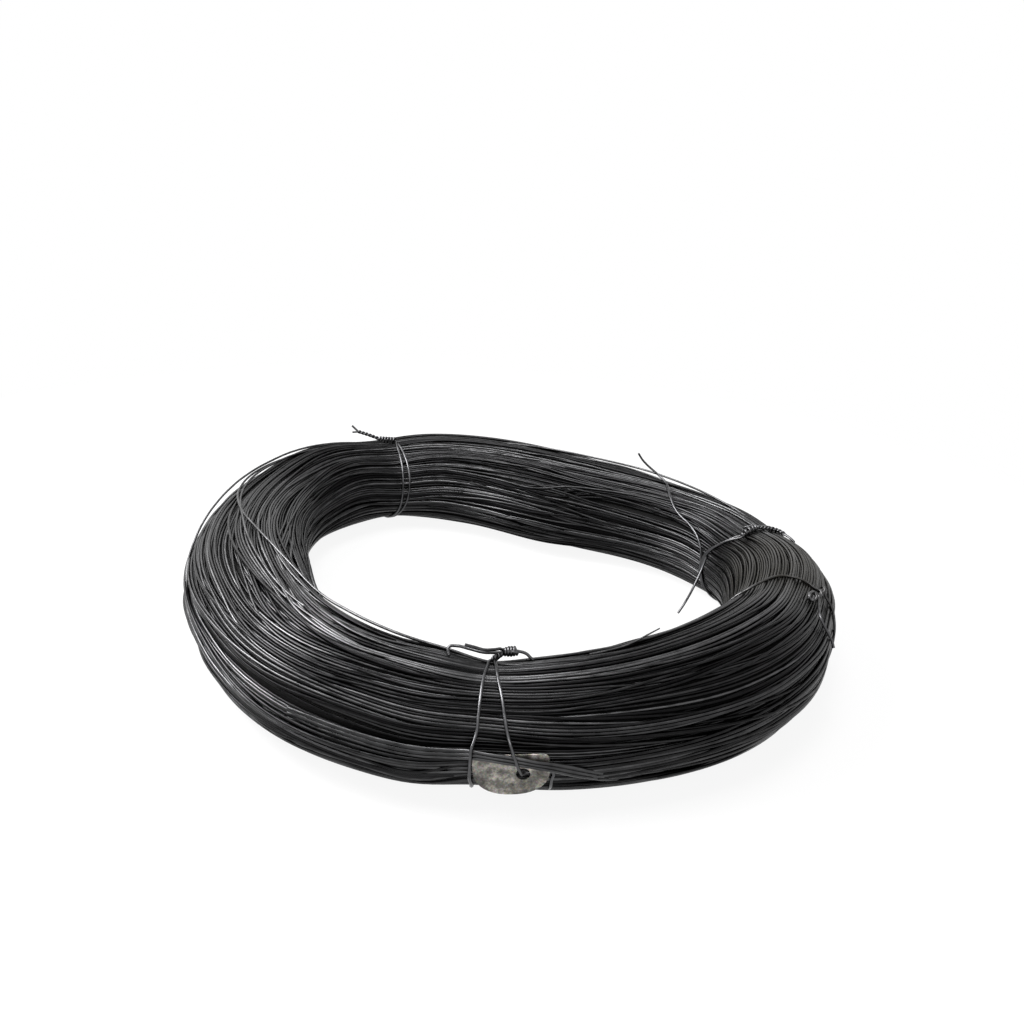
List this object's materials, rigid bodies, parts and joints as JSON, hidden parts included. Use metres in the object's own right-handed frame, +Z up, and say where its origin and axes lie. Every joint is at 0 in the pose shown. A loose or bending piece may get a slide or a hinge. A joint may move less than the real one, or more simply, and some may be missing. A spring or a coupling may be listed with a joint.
{
  "type": "coil of annealed steel wire",
  "caption": "Loose coil of black steel wire lying flat, egg-shaped in plan, bound with twisted wire ties, with a blank half-round metal tag at the front.",
  "frame": {"origin": "middle of the coil's outside box, on the floor it lies on", "axes": "+Z up through the coil's bore, +X along the long way of the coil, the front with the tag faces -Y"},
  "size_m": [0.614, 0.5808, 0.1141],
  "materials": {
    "annealed_wire": "black annealed steel wire, satin scale with a dry lime and oil film",
    "tie_wire": "black annealed tie wire, a little shinier where it was twisted",
    "tag_steel": "thin sheet steel tag, dull grey and stained"
  },
  "bodies": {
    "root": {"wire_coil": "annealed_wire", "tie_front": "tie_wire", "tie_back_left": "tie_wire", "tie_back_right": "tie_wire", "tie_right": "tie_wire", "tag": "tag_steel", "loose_turn_left": "annealed_wire", "loose_turn_crossing": "annealed_wire", "loose_turn_back": "annealed_wire", "wire_end_front": "annealed_wire"}
  },
  "joints": []
}
